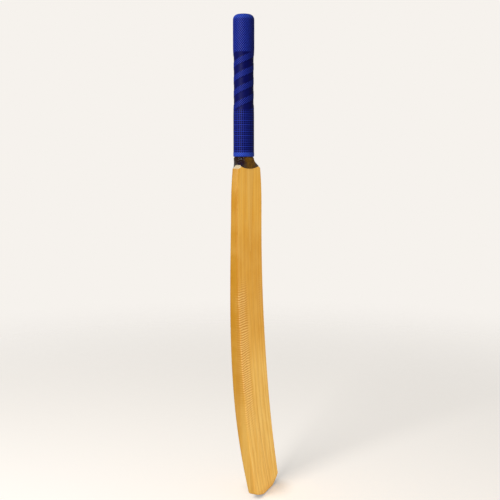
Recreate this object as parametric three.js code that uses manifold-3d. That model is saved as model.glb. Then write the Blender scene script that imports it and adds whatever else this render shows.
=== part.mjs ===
// A full-size cricket bat, built the way a bat maker builds one.
//
// The blade is one cleft of willow with a long V-shaped socket cut into its top. The handle is a laminated
// cane blank: twelve cane slips in four columns of three. Three saw cuts run down from its top to just above
// the shoulders and are filled with rubber strips. The blank's wedge is glued into the socket, its shaft is
// turned round, bound with waxed thread and covered by a moulded rubber grip that rolls over the rounded top.
//
// Frame: millimetres, +Z up from the toe along the handle, the hitting face towards -Y, the width along X.
// The origin is under the middle of the whole bat, level with the lowest point of the toe.

import * as THREE from 'three';
import { mergeVertices } from 'three/addons/utils/BufferGeometryUtils.js';
import Module from 'manifold-3d';

const wasm = await Module();
wasm.setup();

// ---- Overall -------------------------------------------------------------------------------------------------
const OVERALL_LENGTH = 850; // lowest point of the toe to the rolled top of the grip
const BLADE_LENGTH = 586; // toe to the shoulder corners
const BLADE_WIDTH = 108;
const GLUE_GAP = 0.3; // left between pieces that are glued, bound or pulled onto each other

// ---- Blade ---------------------------------------------------------------------------------------------------
const FACE_SETBACK = 12.3; // upper, flat stretch of the face ahead of the handle's axis
const BOW_LENGTH = 483; // stretch of the face, measured from the toe, that curves forward
const BOW_RISE = 33.8; // how far the toe comes forward of the flat stretch
const BOW_POWER = 1.9; // 2 would be a plain parabola; less brings the bow a little higher up the blade
const TOE_KICK = 2.5; // the lowest stretch bows forward by this much more
const TOE_KICK_HEIGHT = 189;
const SWELL_HEIGHT = 185; // height of the thickest part of the blade
const THIN_HEIGHT = 540; // height above which the blade keeps its thin upper section
const EDGE_AT_TOE = 13.2;
const EDGE_AT_SWELL = 22.5;
const EDGE_AT_TOP = 13.5;
const SPINE_AT_TOE = 21; // whole thickness on the middle line
const SPINE_AT_SWELL = 42;
const SPINE_AT_TOP = 30;
const FACE_CORNER_RADIUS = 2.2;
const BACK_CORNER_RADIUS = 3.6;
const SPINE_SHARPNESS = 0.55; // 0 gives a round back, 1 a pointed ridge between hollow sides
const TOE_CORNER_WIDTH = 40; // slant of the toe's corners, across the blade
const TOE_CORNER_HEIGHT = 13.8; // and up it
const TOE_CORNER_POWER = 1.27; // 1 would be a straight slant, 2 a quarter of an ellipse
const TOE_FACE_ROUND = 2.5; // rounding under the face at the toe
const TOE_BACK_ROUND = 4; // and under the back

// ---- Shoulders and neck --------------------------------------------------------------------------------------
const SHOULDER_TAPER_LENGTH = 66;
const SHOULDER_TAPER = 7; // taken off each side over that length
const NECK_LENGTH = 20; // shoulder corners to where the wood is as slim as the shaft
const NECK_FLARE_POWER = 1.8;

// ---- Handle --------------------------------------------------------------------------------------------------
const SHAFT_RADIUS_LOWER = 15.7;
const SHAFT_RADIUS_MIDDLE = 14.8;
const SHAFT_RADIUS_UPPER = 15.9;
const WAIST_LOW = 690; // the slimmer middle of the shaft lies between these heights
const WAIST_HIGH = 782;
const WAIST_BLEND = 12;
const SHAFT_END_ROUND = 7;
const SPLICE_LENGTH = 148; // shoulder corners down to the tip of the V
const SPLICE_TIP_WIDTH = 3;
const CANE_COLUMNS = ['left_outer', 'left_inner', 'right_inner', 'right_outer'];
const CANE_ROWS = ['front', 'middle', 'back'];
const RUBBER_STRIPS = ['left', 'middle', 'right'];
const RUBBER_THICKNESS = 1.6;
const RUBBER_START = 8; // above the shoulder corners, where the saw cuts for the rubber end
const CANE_WIDTH = 6.7; // of the two inner columns; the outer ones run out to the turned surface
const MIDDLE_ROW_DEPTH = 10;

// ---- Thread and grip -----------------------------------------------------------------------------------------
const THREAD_THICKNESS = 0.7; // one layer on the shaft
const NECK_THREAD_THICKNESS = 2; // several layers where the neck shows below the grip
const NECK_BINDING_LOW = 5.5; // above the shoulder corners, at the sides of the neck
const NECK_BINDING_DIP = 7; // how much lower the binding reaches on the face and back
const NECK_BINDING_UNDER_GRIP = 13;
const BAND_LENGTH = 36;
const LOWER_BAND_START = 22; // above the neck binding
const UPPER_BAND_START = 58; // below the top of the shaft
const GRIP_WALL = 1.4;
const GRIP_OVER_NECK = 0.5; // how far the grip's lower edge reaches down over the flare of the neck
const GRIP_WRAP = (75 * Math.PI) / 180; // how far round the handle's rounded end the grip is rolled

// ---- Fineness of the curved surfaces -------------------------------------------------------------------------
const ROUND_STEPS = 40;
const BACK_STEPS = 9;
const CORNER_STEPS = 3;
const DOME_STEPS = 6;
const LEVEL_STEP = 16;
const NECK_BINDING_STEPS = 16;

const NECK_TOP = BLADE_LENGTH + NECK_LENGTH;
const RUBBER_LOW = BLADE_LENGTH + RUBBER_START;
const GRIP_LOW = NECK_TOP - GRIP_OVER_NECK;
const NECK_BINDING_TOP = GRIP_LOW + NECK_BINDING_UNDER_GRIP;
const THREADED = GLUE_GAP + THREAD_THICKNESS + GLUE_GAP; // from the cane to the inside of the grip
const DOME_RADIUS = SHAFT_END_ROUND + THREADED + GRIP_WALL; // outside of the grip over the handle's end
const SHAFT_TOP = OVERALL_LENGTH + SHAFT_END_ROUND - DOME_RADIUS * Math.sin(GRIP_WRAP);

// ---- Small mathematics ---------------------------------------------------------------------------------------
const mix = (a, b, t) => a + (b - a) * t;
const ease = (t) => THREE.MathUtils.smoothstep(t, 0, 1);
const quarterRound = (depth, radius) => radius - Math.sqrt(Math.max(0, radius ** 2 - (radius - depth) ** 2));

function shaftRadius(z) {
  const intoWaist = ease((z - WAIST_LOW + WAIST_BLEND) / (2 * WAIST_BLEND));
  const outOfWaist = ease((z - WAIST_HIGH + WAIST_BLEND) / (2 * WAIST_BLEND));
  const lower = mix(SHAFT_RADIUS_LOWER, SHAFT_RADIUS_MIDDLE, intoWaist);
  return mix(lower, SHAFT_RADIUS_UPPER, outOfWaist);
}

function faceForward(z) {
  const along = Math.max(0, (BOW_LENGTH - z) / BOW_LENGTH);
  const kick = Math.max(0, (TOE_KICK_HEIGHT - z) / TOE_KICK_HEIGHT);
  return FACE_SETBACK + BOW_RISE * along ** BOW_POWER + TOE_KICK * kick ** 2;
}

function thickness(z, atToe, atSwell, atTop) {
  if (z < SWELL_HEIGHT) return atSwell - (atSwell - atToe) * ((SWELL_HEIGHT - z) / SWELL_HEIGHT) ** 2;
  const along = Math.min(1, (z - SWELL_HEIGHT) / (THIN_HEIGHT - SWELL_HEIGHT));
  return mix(atSwell, atTop, (1 - Math.cos(Math.PI * along)) / 2);
}

function halfWidth(z) {
  const full = BLADE_WIDTH / 2;
  if (z < TOE_CORNER_HEIGHT) {
    const below = (TOE_CORNER_HEIGHT - z) / TOE_CORNER_HEIGHT;
    return full - TOE_CORNER_WIDTH * (1 - (1 - below ** TOE_CORNER_POWER) ** (1 / TOE_CORNER_POWER));
  }
  const taper = Math.max(0, Math.min(1, (z - BLADE_LENGTH) / SHOULDER_TAPER_LENGTH + 1));
  const blade = full - SHOULDER_TAPER * taper ** 2;
  if (z <= BLADE_LENGTH) return blade;
  const upNeck = Math.min(1, (z - BLADE_LENGTH) / NECK_LENGTH);
  return mix(shaftRadius(z), blade, (1 - upNeck) ** NECK_FLARE_POWER);
}

// ---- Rings of points -----------------------------------------------------------------------------------------
function cornerArc(x, y, radius, fromAngle, toAngle) {
  const points = [];
  for (let i = 0; i <= CORNER_STEPS; i += 1) {
    const angle = mix(fromAngle, toAngle, i / CORNER_STEPS);
    points.push(new THREE.Vector2(x + radius * Math.cos(angle), y + radius * Math.sin(angle)));
  }
  return points;
}

// The right half of a level cut through the blade, from the middle of the face round to the spine.
function halfSection(z) {
  const width = halfWidth(z);
  const front = -faceForward(z) + quarterRound(Math.min(z, TOE_FACE_ROUND), TOE_FACE_ROUND);
  const backCut = quarterRound(Math.min(z, TOE_BACK_ROUND), TOE_BACK_ROUND);
  const cut = backCut + front + faceForward(z);
  const edge = thickness(z, EDGE_AT_TOE, EDGE_AT_SWELL, EDGE_AT_TOP) - cut;
  const spine = thickness(z, SPINE_AT_TOE, SPINE_AT_SWELL, SPINE_AT_TOP) - cut;
  const faceCorner = Math.min(FACE_CORNER_RADIUS, edge / 3);
  const backCorner = Math.min(BACK_CORNER_RADIUS, edge / 3);
  const inner = width - backCorner;
  const points = [new THREE.Vector2(0, front)];
  points.push(...cornerArc(width - faceCorner, front + faceCorner, faceCorner, -Math.PI / 2, 0));
  points.push(...cornerArc(inner, front + edge - backCorner, backCorner, 0, Math.PI / 2));
  for (let i = 1; i <= BACK_STEPS; i += 1) {
    const across = 1 - i / BACK_STEPS;
    const round = (1 + Math.cos(Math.PI * across)) / 2;
    const rise = mix(round, (1 - across) ** 2, SPINE_SHARPNESS);
    points.push(new THREE.Vector2(inner * across, front + edge + (spine - edge) * rise));
  }
  return points;
}

// The wood's outline at one height: the blade's cut, turning into the round of the shaft over the neck.
function woodRing(z) {
  const right = halfSection(z);
  const left = right.slice(1, -1).reverse().map((p) => new THREE.Vector2(-p.x, p.y));
  const ring = [...right, ...left];
  const turned = ease((z - BLADE_LENGTH + GLUE_GAP) / (NECK_LENGTH + GLUE_GAP));
  const front = ring[0].y;
  const middle = (front + right.at(-1).y) / 2;
  const width = halfWidth(z);
  const radius = shaftRadius(z);
  return ring.map((p) => {
    const angle = Math.atan2((p.y - middle) / (middle - front), p.x / width);
    const x = mix(p.x, width * Math.cos(angle), turned);
    const y = mix(p.y, radius * Math.sin(angle), turned);
    return new THREE.Vector3(x, y, z);
  });
}

function grown(ring, distance) {
  return ring.map((p, i) => {
    const before = ring.at(i - 1);
    const after = ring[(i + 1) % ring.length];
    const out = new THREE.Vector3(after.y - before.y, before.x - after.x, 0).normalize();
    return p.clone().addScaledVector(out, distance);
  });
}

function roundRing(radius, z) {
  const points = [];
  for (let i = 0; i < ROUND_STEPS; i += 1) {
    const angle = (2 * Math.PI * i) / ROUND_STEPS;
    points.push(new THREE.Vector3(radius * Math.cos(angle), radius * Math.sin(angle), z));
  }
  return points;
}

function levels(low, high, step) {
  const count = Math.max(1, Math.ceil((high - low) / step));
  return Array.from({ length: count + 1 }, (_, i) => mix(low, high, i / count));
}

// Heights for a turned surface, close together only where the waist begins and ends.
function shaftLevels(low, high) {
  const bends = [WAIST_LOW, WAIST_HIGH].flatMap((z) => {
    return levels(z - WAIST_BLEND, z + WAIST_BLEND, WAIST_BLEND / 2);
  });
  return [low, ...bends.filter((z) => z > low && z < high), high];
}

// ---- Closed meshes from rings --------------------------------------------------------------------------------
function sideFaces(rings, closes) {
  const size = rings[0].length;
  const faces = [];
  const bands = closes ? rings.length : rings.length - 1;
  for (let k = 0; k < bands; k += 1) {
    const low = k * size;
    const high = ((k + 1) % rings.length) * size;
    for (let i = 0; i < size; i += 1) {
      const j = (i + 1) % size;
      faces.push(low + i, low + j, high + j, low + i, high + j, high + i);
    }
  }
  return faces;
}

function capFaces(ring, first, facesUp) {
  const outline = ring.map((p) => new THREE.Vector2(p.x, p.y));
  const faces = [];
  for (const [a, b, c] of THREE.ShapeUtils.triangulateShape(outline, [])) {
    const up = THREE.ShapeUtils.area([outline[a], outline[b], outline[c]]) > 0;
    faces.push(first + a, first + (up === facesUp ? b : c), first + (up === facesUp ? c : b));
  }
  return faces;
}

function meshOf(rings, faces) {
  const geometry = new THREE.BufferGeometry().setFromPoints(rings.flat());
  geometry.setIndex(faces);
  return geometry;
}

function loft(rings) {
  const last = rings.length - 1;
  const top = last * rings[0].length;
  const caps = [...capFaces(rings[0], 0, false), ...capFaces(rings[last], top, true)];
  return meshOf(rings, [...sideFaces(rings, false), ...caps]);
}

// A tube whose rings run up the outside and back down the inside.
const sleeve = (outside, inside) => {
  const rings = [...outside, ...inside.reverse()];
  return meshOf(rings, sideFaces(rings, true));
};

// ---- Joining and cutting -------------------------------------------------------------------------------------
function toSolid(geometry) {
  const bare = geometry.clone();
  bare.deleteAttribute('normal');
  bare.deleteAttribute('uv');
  const merged = mergeVertices(bare);
  const vertProperties = new Float32Array(merged.attributes.position.array);
  const triVerts = new Uint32Array(merged.index.array);
  return new wasm.Manifold(new wasm.Mesh({ numProp: 3, vertProperties, triVerts }));
}

function toGeometry(solid) {
  const { vertProperties, triVerts } = solid.getMesh();
  const geometry = new THREE.BufferGeometry();
  geometry.setAttribute('position', new THREE.BufferAttribute(vertProperties, 3));
  geometry.setIndex(new THREE.BufferAttribute(triVerts, 1));
  geometry.computeVertexNormals();
  return geometry;
}

function block(lowCorner, highCorner) {
  const size = highCorner.clone().sub(lowCorner);
  const middle = lowCorner.clone().add(highCorner).multiplyScalar(0.5);
  const geometry = new THREE.BoxGeometry(size.x, size.y, size.z);
  return toSolid(geometry.translate(middle.x, middle.y, middle.z));
}

// ---- The wooden shapes ---------------------------------------------------------------------------------------
function bladeLevels() {
  const toe = levels(0, 1, 1 / 9).map((t) => TOE_CORNER_HEIGHT * (1 - Math.cos((t * Math.PI) / 2)));
  const bowed = levels(TOE_CORNER_HEIGHT, BOW_LENGTH, LEVEL_STEP).slice(1);
  const taperStart = BLADE_LENGTH - SHOULDER_TAPER_LENGTH;
  const taper = levels(taperStart, BLADE_LENGTH, LEVEL_STEP / 2);
  const neck = levels(BLADE_LENGTH, NECK_TOP, LEVEL_STEP / 10).slice(1);
  return [...toe, ...bowed, ...taper, ...neck];
}

function shaftSolid(extra) {
  const low = NECK_TOP - GLUE_GAP;
  const straight = shaftLevels(low, SHAFT_TOP - SHAFT_END_ROUND);
  const rings = straight.map((z) => roundRing(shaftRadius(z) + extra, z));
  for (const angle of levels(0, Math.PI / 2, Math.PI / 2 / DOME_STEPS).slice(1)) {
    const z = SHAFT_TOP - SHAFT_END_ROUND * (1 - Math.sin(angle));
    rings.push(roundRing(shaftRadius(z) - SHAFT_END_ROUND * (1 - Math.cos(angle)), z));
  }
  return toSolid(loft(rings));
}

function wedgeSolid(extra) {
  const reach = 4 * SPINE_AT_SWELL;
  const topHalf = SHAFT_RADIUS_LOWER + GLUE_GAP + extra;
  const tipHalf = SPLICE_TIP_WIDTH / 2 + extra;
  const low = BLADE_LENGTH - SPLICE_LENGTH - extra;
  const high = NECK_TOP + extra;
  const outline = new THREE.Shape();
  outline.moveTo(-tipHalf, low);
  outline.lineTo(tipHalf, low);
  outline.lineTo(topHalf, BLADE_LENGTH);
  outline.lineTo(topHalf, high);
  outline.lineTo(-topHalf, high);
  outline.lineTo(-topHalf, BLADE_LENGTH);
  const prism = new THREE.ExtrudeGeometry(outline, { depth: reach, bevelEnabled: false });
  return toSolid(prism.rotateX(Math.PI / 2).translate(0, reach / 2, 0));
}

const woodEnvelope = toSolid(loft(bladeLevels().map(woodRing)));
const handleBlank = woodEnvelope.intersect(wedgeSolid(0)).add(shaftSolid(0));
const bladeSolid = woodEnvelope.subtract(wedgeSolid(GLUE_GAP));

// ---- The laminated blank -------------------------------------------------------------------------------------
// Strip centres lie a slip and a rubber strip apart, so the middle strip is on the bat's centre line.
const columnPitch = CANE_WIDTH + RUBBER_THICKNESS + 2 * GLUE_GAP;
const stripCentre = (i) => (i - 1) * columnPitch;
const far = BLADE_WIDTH;

// How far a column reaches to either side, next to a strip of rubber or, below it, next to a glue line.
function columnRange(i, beside) {
  const low = i === 0 ? -far : stripCentre(i - 1) + beside;
  const high = i === CANE_COLUMNS.length - 1 ? far : stripCentre(i) - beside;
  return [low, high];
}

function rowRange(i) {
  const half = MIDDLE_ROW_DEPTH / 2;
  const edges = [-far, -half, half, far];
  const low = i === 0 ? edges[0] : edges[i] + GLUE_GAP / 2;
  const high = i === CANE_ROWS.length - 1 ? edges[i + 1] : edges[i + 1] - GLUE_GAP / 2;
  return [low, high];
}

function plank([lowX, highX], [lowY, highY], [lowZ, highZ]) {
  return block(new THREE.Vector3(lowX, lowY, lowZ), new THREE.Vector3(highX, highY, highZ));
}

function caneSlip(column, row) {
  const belowRubber = [-far, RUBBER_LOW - GLUE_GAP];
  const besideRubber = [RUBBER_LOW - 2 * GLUE_GAP, OVERALL_LENGTH + far];
  const wide = plank(columnRange(column, GLUE_GAP / 2), rowRange(row), belowRubber);
  const slim = plank(columnRange(column, RUBBER_THICKNESS / 2 + GLUE_GAP), rowRange(row), besideRubber);
  return handleBlank.intersect(wide.add(slim));
}

function rubberStrip(i) {
  const width = [stripCentre(i) - RUBBER_THICKNESS / 2, stripCentre(i) + RUBBER_THICKNESS / 2];
  return handleBlank.intersect(plank(width, [-far, far], [RUBBER_LOW, OVERALL_LENGTH + far]));
}

// ---- Thread bindings and grip --------------------------------------------------------------------------------
function neckThreadWall(z) {
  const thinsOver = 2 * GRIP_WALL;
  const underGrip = ease((z - GRIP_LOW + GLUE_GAP + thinsOver) / thinsOver);
  return mix(NECK_THREAD_THICKNESS, THREAD_THICKNESS, underGrip);
}

// Each turn sags on the face and back, where nothing holds it up, and rides high on the shoulders.
function neckBinding() {
  const widest = halfWidth(BLADE_LENGTH);
  const lowest = woodRing(BLADE_LENGTH).map((p) => {
    const across = Math.abs(p.x) / widest;
    return BLADE_LENGTH + NECK_BINDING_LOW - NECK_BINDING_DIP * (1 - across ** 2);
  });
  const ringAt = (t, distanceAt) => lowest.map((low, i) => {
    const z = mix(low, NECK_BINDING_TOP, t);
    return grown(woodRing(z), distanceAt(z))[i];
  });
  const steps = levels(0, 1, 1 / NECK_BINDING_STEPS);
  const outside = steps.map((t) => ringAt(t, (z) => GLUE_GAP + neckThreadWall(z)));
  const inside = steps.map((t) => ringAt(t, () => -GLUE_GAP));
  const clearOfWood = bladeLevels().map((z) => grown(woodRing(z), 2 * GLUE_GAP));
  return toSolid(sleeve(outside, inside))
    .subtract(toSolid(loft(clearOfWood)))
    .subtract(shaftSolid(GLUE_GAP));
}

function band(low) {
  const heights = shaftLevels(low, low + BAND_LENGTH);
  const ringsAt = (extra) => heights.map((z) => roundRing(shaftRadius(z) + extra, z));
  return toSolid(sleeve(ringsAt(GLUE_GAP + THREAD_THICKNESS), ringsAt(GLUE_GAP)));
}

function gripSolid() {
  const shoulder = SHAFT_TOP - SHAFT_END_ROUND;
  const heights = shaftLevels(GRIP_LOW, shoulder);
  const wallAt = (extra) => heights.map((z) => roundRing(shaftRadius(z) + extra, z));
  const dome = (extra) => levels(0, GRIP_WRAP, GRIP_WRAP / DOME_STEPS).slice(1).map((angle) => {
    const radius = SHAFT_END_ROUND + extra;
    const z = shoulder + radius * Math.sin(angle);
    return roundRing(shaftRadius(z) - SHAFT_END_ROUND + radius * Math.cos(angle), z);
  });
  return toSolid(sleeve(
    [...wallAt(THREADED + GRIP_WALL), ...dome(THREADED + GRIP_WALL)],
    [...wallAt(THREADED), ...dome(THREADED)],
  ));
}

// ---- The bat -------------------------------------------------------------------------------------------------
const finishes = {
  willow: { color: 0xdba75a, roughness: 0.5, metalness: 0 },
  cane: { color: 0xc79a58, roughness: 0.6, metalness: 0 },
  insert: { color: 0x1c1a19, roughness: 0.9, metalness: 0 },
  thread: { color: 0x2b2110, roughness: 0.35, metalness: 0 },
  grip: { color: 0x1a2a8f, roughness: 0.6, metalness: 0 },
};

const bat = new THREE.Group();

function place(name, solid, finish) {
  const mesh = new THREE.Mesh(toGeometry(solid), new THREE.MeshStandardMaterial(finishes[finish]));
  mesh.name = name;
  bat.add(mesh);
}

place('blade', bladeSolid, 'willow');
CANE_COLUMNS.forEach((column, i) => {
  CANE_ROWS.forEach((row, k) => {
    place(`cane_${column}_${row}`, caneSlip(i, k), 'cane');
  });
});
RUBBER_STRIPS.forEach((side, i) => {
  place(`rubber_strip_${side}`, rubberStrip(i), 'insert');
});
place('neck_binding', neckBinding(), 'thread');
place('lower_binding', band(NECK_BINDING_TOP + LOWER_BAND_START), 'thread');
place('upper_binding', band(SHAFT_TOP - UPPER_BAND_START), 'thread');
place('grip', gripSolid(), 'grip');

const extent = new THREE.Box3().setFromObject(bat);
const centre = extent.getCenter(new THREE.Vector3());
bat.position.set(-centre.x, -centre.y, -extent.min.z);

export default bat;
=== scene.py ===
# %% [markdown]
# # A cricket bat, finished for the camera
#
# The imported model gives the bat's sizes, its pieces and where they lie. This notebook gives each visible
# piece its real surface: oiled willow with straight grain, a spliced cane handle, varnished thread round the
# neck and a moulded rubber grip. All lengths are metres. +Z runs up the bat, and the hitting face looks
# towards -Y.

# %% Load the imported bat
import math

import bmesh
import bpy
import numpy as np
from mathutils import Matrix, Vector


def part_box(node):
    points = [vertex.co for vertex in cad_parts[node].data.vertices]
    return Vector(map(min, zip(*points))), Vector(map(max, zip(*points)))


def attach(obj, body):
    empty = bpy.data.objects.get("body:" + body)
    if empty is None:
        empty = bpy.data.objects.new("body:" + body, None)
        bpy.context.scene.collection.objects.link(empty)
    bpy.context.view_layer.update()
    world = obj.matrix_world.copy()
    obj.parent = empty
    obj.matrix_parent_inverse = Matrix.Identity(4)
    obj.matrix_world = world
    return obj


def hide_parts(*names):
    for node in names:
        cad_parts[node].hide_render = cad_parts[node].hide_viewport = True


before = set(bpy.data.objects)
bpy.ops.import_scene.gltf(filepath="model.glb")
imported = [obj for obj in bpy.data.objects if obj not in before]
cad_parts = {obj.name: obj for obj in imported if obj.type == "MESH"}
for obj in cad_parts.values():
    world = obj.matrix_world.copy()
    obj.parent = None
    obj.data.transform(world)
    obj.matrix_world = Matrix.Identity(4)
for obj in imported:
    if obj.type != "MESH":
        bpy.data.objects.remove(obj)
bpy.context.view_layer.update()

MM = 0.001
blade_low, blade_high = (np.array(corner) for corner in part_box("blade"))
grip_low, grip_high = (np.array(corner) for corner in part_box("grip"))
cane_low, cane_high = (np.array(corner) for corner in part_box("cane_left_inner_middle"))
neck_high = np.array(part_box("neck_binding")[1])
axis_y = (grip_low[1] + grip_high[1]) / 2
print(f"bat {grip_high[2] / MM:.1f} mm long, handle axis at y = {axis_y / MM:.2f} mm")

# %% [markdown]
# ## The outline of the wood
#
# A bat maker shapes the blade with a drawknife from a few rules: a flat face that bows forward towards the
# toe, edges and a spine that swell low down, shoulders that run into the neck. The same rules, as small
# functions of height, give a smooth surface at any fineness, so the mesh can be much finer than the packed
# one.

# %% Sizes of the blade
BLADE_LENGTH = 586 * MM  # from the toe to the corners of the shoulders
HALF_WIDTH = (blade_high[0] - blade_low[0]) / 2
FACE_SETBACK = 12.3 * MM
BOW_LENGTH = 483 * MM
BOW_RISE = 33.8 * MM
BOW_POWER = 1.9
TOE_KICK = 2.5 * MM
TOE_KICK_HEIGHT = 189 * MM
SWELL_HEIGHT = 185 * MM
THIN_HEIGHT = 540 * MM
EDGE = (13.2 * MM, 22.5 * MM, 13.5 * MM)  # thickness at the toe, at the swell and at the top
SPINE = (21 * MM, 42 * MM, 30 * MM)
TOE_CORNER = (40 * MM, 13.8 * MM)  # width and height of the part cut off each corner
TOE_CORNER_POWER = 1.27
SHOULDER_TAPER = (66 * MM, 7 * MM)  # length, and how much comes off each side
print(f"blade {BLADE_LENGTH / MM:.0f} mm to its shoulders, {2 * HALF_WIDTH / MM:.0f} mm wide")


# %% Rules of the blade
def mix(a, b, t):
    return a + (b - a) * t


def ease(t):
    """A soft step from 0 to 1."""
    t = np.clip(t, 0, 1)
    return t * t * (3 - 2 * t)


def face_forward(z):
    """How far the face stands in front of the handle's axis."""
    along = np.maximum(0, (BOW_LENGTH - z) / BOW_LENGTH)
    kick = np.maximum(0, (TOE_KICK_HEIGHT - z) / TOE_KICK_HEIGHT)
    return FACE_SETBACK + BOW_RISE * along**BOW_POWER + TOE_KICK * kick**2


def thickness(z, rule):
    """Thickness of the edge or the spine, which swells and then thins towards the top."""
    at_toe, at_swell, at_top = rule
    below = at_swell - (at_swell - at_toe) * ((SWELL_HEIGHT - z) / SWELL_HEIGHT) ** 2
    along = np.clip((z - SWELL_HEIGHT) / (THIN_HEIGHT - SWELL_HEIGHT), 0, 1)
    above = mix(at_swell, at_top, (1 - np.cos(np.pi * along)) / 2)
    return np.where(z < SWELL_HEIGHT, below, above)


print("face in front of the axis, toe to shoulder, mm:",
      [round(float(face_forward(z)) / MM, 1) for z in (0, 0.15, 0.3, 0.45, 0.585)])

# %% [markdown]
# ## The shaft and the neck
#
# The shaft is round with a slight waist under the grip. At the shoulders the blade's width runs into it in a
# hollow curve. Two outlines that cross would leave a crease, so the lower of the two is taken with a soft
# minimum, which rounds the crease off by a set amount.

# %% Rules of the shaft
SHAFT_LOWER = 15.7 * MM
SHAFT_MIDDLE = 14.8 * MM
SHAFT_UPPER = 15.9 * MM
WAIST_LOW = 690 * MM
WAIST_HIGH = 782 * MM
WAIST_BLEND = 12 * MM
END_ROUND = 7 * MM
SHOULDER_SOFTNESS = 0.8 * MM
NECK_LENGTH = 20 * MM
NECK_FLARE_POWER = 1.8
NECK_TOP = BLADE_LENGTH + NECK_LENGTH
shaft_top = cane_high[2]


def shaft_radius(z):
    into_waist = ease((z - WAIST_LOW + WAIST_BLEND) / (2 * WAIST_BLEND))
    out_of_waist = ease((z - WAIST_HIGH + WAIST_BLEND) / (2 * WAIST_BLEND))
    return mix(mix(SHAFT_LOWER, SHAFT_MIDDLE, into_waist), SHAFT_UPPER, out_of_waist)


def half_width(z):
    if z < TOE_CORNER[1]:
        below = (TOE_CORNER[1] - z) / TOE_CORNER[1]
        inset = 1 - (1 - below**TOE_CORNER_POWER) ** (1 / TOE_CORNER_POWER)
        return HALF_WIDTH - TOE_CORNER[0] * inset
    taper = max(0.0, (z - BLADE_LENGTH) / SHOULDER_TAPER[0] + 1)
    blade = HALF_WIDTH - SHOULDER_TAPER[1] * taper**2
    if z < BLADE_LENGTH - SHOULDER_TAPER[0]:
        return blade
    up_neck = min(1.0, (z - BLADE_LENGTH) / NECK_LENGTH)
    at_corner = HALF_WIDTH - SHOULDER_TAPER[1]
    neck = mix(shaft_radius(z), at_corner, (1 - up_neck) ** NECK_FLARE_POWER)
    lower = min(blade, neck)
    gap = abs(blade - neck) / SHOULDER_SOFTNESS
    return lower - SHOULDER_SOFTNESS * math.log1p(math.exp(-gap))


print("half width at toe, middle and shoulder, mm:", [round(half_width(z) / MM, 1) for z in (0, 0.3, 0.585)])

# %% [markdown]
# ## Level cuts
#
# Each level cut of the wood is one closed ring of points: flat face, two small rounds at the edge, and a back
# that rises to the spine. Rings with the same number of points join into a skin without any fitting. Over the
# neck the blade's cut turns, point by point, into the round of the shaft.

# %% Half of one cut
FACE_STEPS = 10
CORNER_STEPS = 5
BACK_STEPS = 20
FACE_CORNER = 2.2 * MM
BACK_CORNER = 3.6 * MM
TOE_FACE_ROUND = 2.5 * MM
TOE_BACK_ROUND = 4 * MM
SPINE_SHARPNESS = 0.55  # 0 gives a soft wave, 1 gives a ridge with hollow sides
SPINE_ROUNDING = 0.05


def quarter_round(depth, radius):
    """How far a quarter round at the toe still cuts in, at a depth from the toe's end."""
    depth = min(depth, radius)
    return radius - math.sqrt(max(0.0, radius**2 - (radius - depth) ** 2))


def corner_arc(x, y, radius, start, end):
    angle = np.linspace(start, end, CORNER_STEPS + 1)
    return np.column_stack([x + radius * np.cos(angle), y + radius * np.sin(angle)])


def half_section(z):
    width = half_width(z)
    face_cut = quarter_round(z, TOE_FACE_ROUND)
    cut = face_cut + quarter_round(z, TOE_BACK_ROUND)
    front = -face_forward(z) + face_cut
    edge = float(thickness(z, EDGE)) - cut
    spine = float(thickness(z, SPINE)) - cut
    face_corner = min(FACE_CORNER, edge / 3)
    back_corner = min(BACK_CORNER, edge / 3)
    inner = width - back_corner
    face_x = np.linspace(0, width - face_corner, FACE_STEPS + 1)[:-1]
    face = np.column_stack([face_x, np.full(FACE_STEPS, front)])
    front_arc = corner_arc(width - face_corner, front + face_corner, face_corner, -math.pi / 2, 0)
    back_arc = corner_arc(inner, front + edge - back_corner, back_corner, 0, math.pi / 2)
    across = 1 - np.arange(1, BACK_STEPS + 1) / BACK_STEPS
    softened = np.sqrt(across**2 + SPINE_ROUNDING**2) - SPINE_ROUNDING * across**2
    rise = mix((1 + np.cos(np.pi * across)) / 2, (1 - softened) ** 2, SPINE_SHARPNESS)
    back = np.column_stack([inner * across, front + edge + (spine - edge) * rise])
    return np.vstack([face, front_arc, back_arc, back])


print("points in half a cut:", len(half_section(0.3)))

# %% One ring of the wood
TURN_LEAD = 0.3 * MM  # the turn to round starts this far below the corners of the shoulders


def wood_ring(z):
    right = half_section(z)
    left = right[1:-1][::-1] * [-1, 1]
    ring = np.vstack([right, left])
    turned = float(ease((z - BLADE_LENGTH + TURN_LEAD) / (NECK_LENGTH + TURN_LEAD)))
    front, back = ring[0, 1], right[-1, 1]
    middle = (front + back) / 2
    width = half_width(z)
    angle = np.arctan2((ring[:, 1] - middle) / (middle - front), ring[:, 0] / width)
    x = mix(ring[:, 0], width * np.cos(angle), turned)
    y = mix(ring[:, 1], shaft_radius(z) * np.sin(angle), turned)
    return np.column_stack([x, y + axis_y, np.full(len(ring), z)])


print("points in one ring of the wood:", len(wood_ring(0.3)))

# %% [markdown]
# ## Skins from rings
#
# A lathe or a loft would both do for single pieces. One small function serves them all here: `skin` turns
# rings into a closed mesh object, either capped at both ends, like the blade, or closed on itself, like a
# sleeve whose rings go up the outside and down the inside. Edges sharper than a set angle stay crisp.

# %% Mesh helpers
CRISP_ANGLE = math.radians(38)


def finish_mesh(mesh):
    mesh.shade_smooth()
    mesh.set_sharp_from_angle(angle=CRISP_ANGLE)
    mesh.update()


def new_piece(name, mesh):
    piece = bpy.data.objects.new(name, mesh)
    bpy.context.scene.collection.objects.link(piece)
    return piece


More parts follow.
